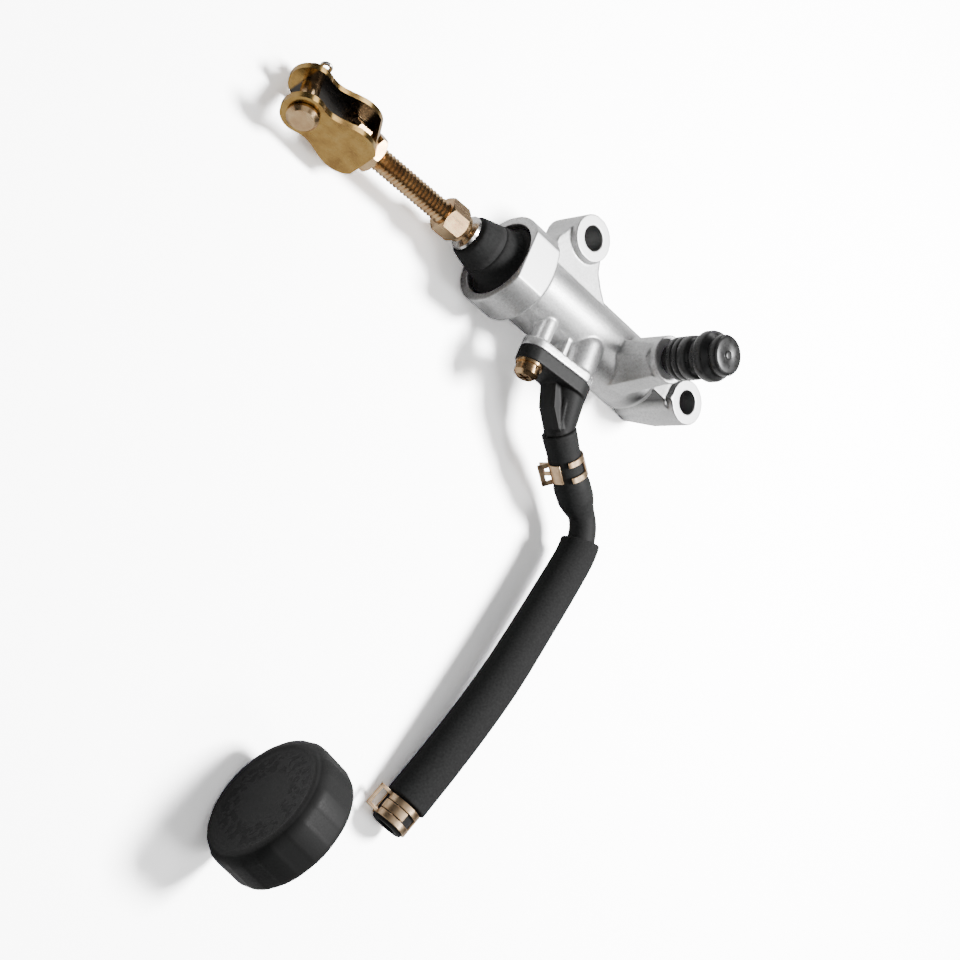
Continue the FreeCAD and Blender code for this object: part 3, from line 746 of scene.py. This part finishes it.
def make_boot():
    """Boot in two pieces: a cone and a neck."""
    cone_outside = [
        (84.6, 13.0, 0), (85.0, 13.35, 0), (89.6, 13.35, 0), (90.6, 13.1, 0), (91.1, 12.5, 0),
        (91.0, 11.8, 0), (91.2, 11.2, 0.1), (92.0, 10.75, 0.2), (93.4, 10.4, 0.4), (95.4, 9.95, 0.65),
        (97.0, 9.55, 0.82), (98.0, 9.3, 0.88)]
    cone_inside = [
        (98.0, 7.7, 0.88), (95.4, 8.3, 0.65), (93.4, 8.8, 0.4), (91.0, 9.3, 0.15), (90.0, 9.6, 0),
        (88.9, 11.8, 0), (84.6, 11.8, 0)]
    neck_outside = [
        (97.8, 9.34, 0.87), (100.0, 8.8, 0.93), (102.5, 8.2, 0.97), (104.4, 7.7, 1), (105.2, 7.4, 1),
        (105.55, 7.0, 1), (105.6, 6.2, 1)]
    neck_inside = [(105.5, 3.3, 1), (104.0, 3.3, 1), (103.8, 5.6, 1), (97.8, 7.7, 0.87)]
    cone = boot_skin("boot_cone", cone_outside + cone_inside)
    neck = boot_skin("boot_neck", neck_outside + neck_inside)
    for piece in (cone, neck):
        paint(piece, BOOT)
        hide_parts("dust_boot")
    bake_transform(cone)
    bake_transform(neck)


def make_return_spring():
    """Coil spring in the bore."""
    steps = SPRING_TURNS * SPRING_STEPS_A_TURN
    rings = []
    for step in range(steps + 1):
        angle = 2 * math.pi * step / SPRING_STEPS_A_TURN
        out = Y_DIR * math.cos(angle) + Z_DIR * math.sin(angle)
        along = Y_DIR * -math.sin(angle) + Z_DIR * math.cos(angle)
        centre = Vector((SPRING_START + SPRING_LENGTH * step / steps, 0, AXIS_Z)) + out * SPRING_R
        rings.append(circle(centre, along, SPRING_WIRE_R, SPRING_WIRE_SIDES, up=X_DIR))
    spring = skin("return_spring_coil", rings)
    paint(spring, STEEL)
    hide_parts("return_spring")
    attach(spring, "body")
    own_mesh(spring)


def make_plug():
    """Turned plug from (height over the outlet's face, radius), from its stem to its grip."""
    profile = [
        (-7.5, 3.4), (-6.8, 4.35), (0.1, 4.4), (0.15, 5.2), (2.6, 5.2), (3.2, 6.7), (3.9, 7.5),
        (5.6, 7.55), (5.9, 7.25), (6.2, 7.55), (8.2, 7.6), (8.5, 7.3), (8.8, 7.6), (11.4, 7.55),
        (12.4, 7.1), (12.9, 6.3), (14.6, 6.2), (15.2, 7.1), (15.8, 8.2), (16.8, 8.65), (19.0, 8.65),
        (20.0, 8.3), (20.7, 7.2), (21.4, 6.6), (22.0, 7.0), (24.0, 6.9), (24.7, 6.5), (25.0, 5.8),
        (24.8, 2.6), (24.6, 1.7), (24.9, 1.5), (25.0, 0.9)]
    rings = [circle(OUTLET + Z_DIR * height, Z_DIR, radius, ROUND_SIDES) for height, radius in profile]
    plug = skin("outlet_plug_rubber", rings)
    smooth_by_angle(plug, angle=50)
    paint(plug, PLUG)
    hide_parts("outlet_plug")
    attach(plug, "outlet_plug")


def fluted_ring(along, radius, fluted):
    """Ring of the cap's skin. fluted is the share of the flutes' depth that it has."""
    centre = CAP_FACE + CAP_AXIS * along
    ring = []
    for point in circle(centre, CAP_AXIS, 1.0, CAP_SIDES):
        out = point - centre
        angle = math.atan2(out.z, out.xy.length * (1 if out.y > 0 else -1))
        wave = max(0.0, math.cos(CAP_FLUTES * angle)) ** 0.5
        ring.append(centre + out * (radius - CAP_FLUTE_DEPTH * fluted * wave))
    return ring


def make_cap():
    """Cap with rounded edges, shallow flutes round its side and a shallow dish in its face.
    The tables hold (distance from the face, radius, share of the flutes)."""
    inside = [(-2.4, 0.3, 0), (-2.4, 18.7, 0), (-3.0, 19.2, 0), (-15.0, 19.2, 0), (-15.1, 19.5, 0)]
    side = [(-15.1, 20.4, 0), (-14.8, 21.1, 0.4), (-14.0, 21.5, 0.8), (-13.0, CAP_R, 1), (-4.2, CAP_R, 1),
            (-3.0, 21.45, 1), (-1.9, 21.0, 0.8), (-0.9, 20.2, 0.4), (-0.3, 19.3, 0), (0.0, 18.4, 0)]
    face = [(0.0, 17.7, 0), (-0.3, 17.3, 0), (-0.6, 16.7, 0), (-0.6, 0.3, 0)]
    cap = skin("reservoir_cap_moulding", [fluted_ring(*row) for row in inside + side + face])
    smooth_by_angle(cap, angle=40)
    paint(cap, CAP)
    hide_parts("reservoir_cap")
    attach(cap, "reservoir_cap")


# Stage

def make_floor():
    """Pale floor that the camera sees brighter than the part's own reflections do."""
    half = FLOOR_HALF
    corners = [(-half, -half), (half, -half), (half, half), (-half, half)]
    mesh = bpy.data.meshes.new("floor")
    mesh.from_pydata([(x, y, FLOOR_Z - FLOOR_DROP) for x, y in corners], [], [(0, 1, 2, 3)])
    floor = bpy.data.objects.new("floor", mesh)
    bpy.context.scene.collection.objects.link(floor)
    material, tree, bsdf = shader("floor")
    rays = tree.nodes.new("ShaderNodeLightPath")
    tint = choose(tree, rays.outputs["Is Camera Ray"], FLOOR_REFLECTED, FLOOR_SEEN)
    tree.links.new(tint, bsdf.inputs["Base Color"])
    bsdf.inputs["Roughness"].default_value = 1.0
    bsdf.inputs["Specular IOR Level"].default_value = 0.0
    floor.data.materials.append(material)


def make_sky():
    """Soft sky: pale overhead and dim near the horizon, behind a plain pale backdrop."""
    world = bpy.data.worlds.new("room")
    bpy.context.scene.world = world
    world.use_nodes = True
    tree = world.node_tree
    place = tree.nodes.new("ShaderNodeTexCoord")
    split = tree.nodes.new("ShaderNodeSeparateXYZ")
    tree.links.new(place.outputs["Generated"], split.inputs["Vector"])
    rays = tree.nodes.new("ShaderNodeLightPath")
    seen = choose(tree, rays.outputs["Is Camera Ray"], ramp(tree, split.outputs["Z"], SKY), BACKDROP)
    tree.links.new(seen, tree.nodes["Background"].inputs["Color"])
    tree.nodes["Background"].inputs["Strength"].default_value = 1.0


def make_lights():
    for name, place, power, size in LIGHTS:
        data = bpy.data.lights.new(name, "AREA")
        data.energy = power
        data.size = size
        light = bpy.data.objects.new(name, data)
        light.location = place
        aim = LIGHT_TARGET - Vector(place)
        light.rotation_euler = aim.to_track_quat("-Z", "Y").to_euler()
        bpy.context.scene.collection.objects.link(light)


make_camera()
make_hose()
paint_cad_nodes()
moulded("cylinder_body", size=0.35, passes=5)
moulded("hose_elbow", size=0.25, passes=5)
make_boot()
make_return_spring()
make_plug()
make_cap()
round_edges()
make_floor()
make_sky()
make_lights()
